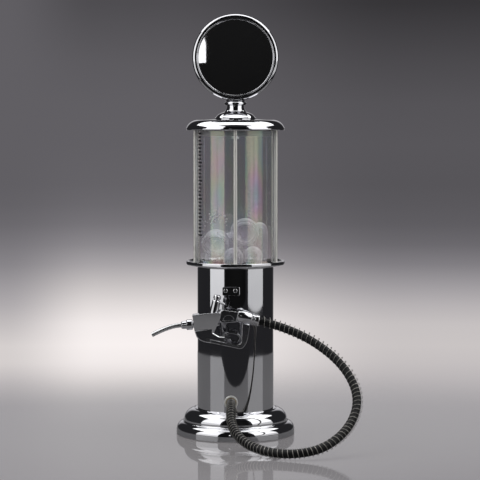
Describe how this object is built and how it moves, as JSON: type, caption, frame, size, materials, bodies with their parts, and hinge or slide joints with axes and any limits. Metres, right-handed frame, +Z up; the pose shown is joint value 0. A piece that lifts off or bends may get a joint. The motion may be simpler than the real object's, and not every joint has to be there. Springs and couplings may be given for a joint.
{
  "type": "drinks dispenser",
  "caption": "Tabletop gravity drinks dispenser shaped like an old petrol pump, with a clear tank, round sign, hose and trigger gun.",
  "frame": {"origin": "centre of the round base on the surface it rests on", "axes": "+Z up along the column; -Y is the front, where the gun hangs; +X to the viewer's right"},
  "size_m": [0.2382, 0.2544, 0.49],
  "materials": {
    "chrome": "polished chrome plate",
    "clear_acrylic": "clear acrylic tube",
    "ice": "cloudy ice",
    "foam_pad": "black EVA foam",
    "seal_rubber": "soft moulded rubber",
    "black_hose": "satin black hose",
    "clear_vinyl": "clear vinyl tube",
    "steel": "bright stainless steel",
    "spring_wire": "drawn spring wire",
    "satin_rod": "satin drawn rod",
    "plain_steel": "rolled steel sheet",
    "brass": "turned brass",
    "dark_plastic": "moulded plastic",
    "mirror_face": "polished mirror plate"
  },
  "bodies": {
    "stand": {"base_pad": "foam_pad", "base_plate": "plain_steel", "base_screws": "steel", "base_shell": "chrome", "collar": "chrome", "column_foot_ring": "plain_steel", "column_shell": "chrome", "drain_tube": "clear_vinyl", "hook_finger": "chrome", "hook_plate": "chrome", "hook_screws": "steel", "hose": "black_hose", "hose_clamps": "steel", "hose_spring_guard": "spring_wire", "ice_cubes": "ice", "outlet_fitting": "brass", "outlet_nut": "brass", "outlet_washer": "seal_rubber", "port_bush": "chrome", "port_fitting": "brass", "port_nut": "brass", "rod_nuts": "steel", "tank_floor": "dark_plastic", "tank_rim_gasket": "seal_rubber", "tank_seal": "seal_rubber", "tank_tube": "clear_acrylic", "tie_rod_back": "satin_rod", "tie_rod_front": "satin_rod", "tie_rod_left": "satin_rod", "tie_rod_right": "satin_rod", "top_ring": "plain_steel"},
    "lid": {"lid_shell": "chrome", "lid_plug": "dark_plastic", "lid_seal": "seal_rubber", "sign_stem": "chrome", "stem_screw": "steel", "sign_rim": "chrome", "sign_face_front": "mirror_face", "sign_face_back": "mirror_face", "sign_core": "dark_plastic"},
    "gun": {"gun_body": "chrome", "gun_spout": "steel", "spout_collar": "chrome", "gun_tower": "chrome", "tower_cap": "chrome", "hanging_lug": "chrome", "hose_coupling": "chrome", "hose_ferrule": "chrome", "trigger_guard": "chrome", "guard_rivet": "steel", "side_screw": "steel", "trigger_pin": "steel", "valve_spring": "spring_wire"},
    "trigger_lever": {"trigger": "chrome"},
    "valve": {"valve_stem": "steel", "valve_disc": "seal_rubber"}
  },
  "joints": [
    {"name": "lid_lift", "type": "slide", "parent": "stand", "child": "lid", "axis": [0, 0, 1], "range_m": [0, 0.06]},
    {"name": "gun_unhook", "type": "slide", "parent": "stand", "child": "gun", "axis": [0, -1, 0], "range_m": [0, 0.025]},
    {"name": "trigger_squeeze", "type": "hinge", "parent": "gun", "child": "trigger_lever", "pos_m": [-0.015, -0.06, 0.119], "axis": [0, -1, 0], "range_deg": [0, 12], "stiffness_Nm_per_rad": 0.06, "springref_deg": -6.88},
    {"name": "valve_slide", "type": "slide", "parent": "gun", "child": "valve", "axis": [-1, 0, 0], "range_m": [0, 0.0034], "deforming": ["valve_spring"]}
  ],
  "couplings": [
    {"joint": "valve_slide", "follows": "trigger_squeeze", "m_per_rad": 0.0156}
  ]
}
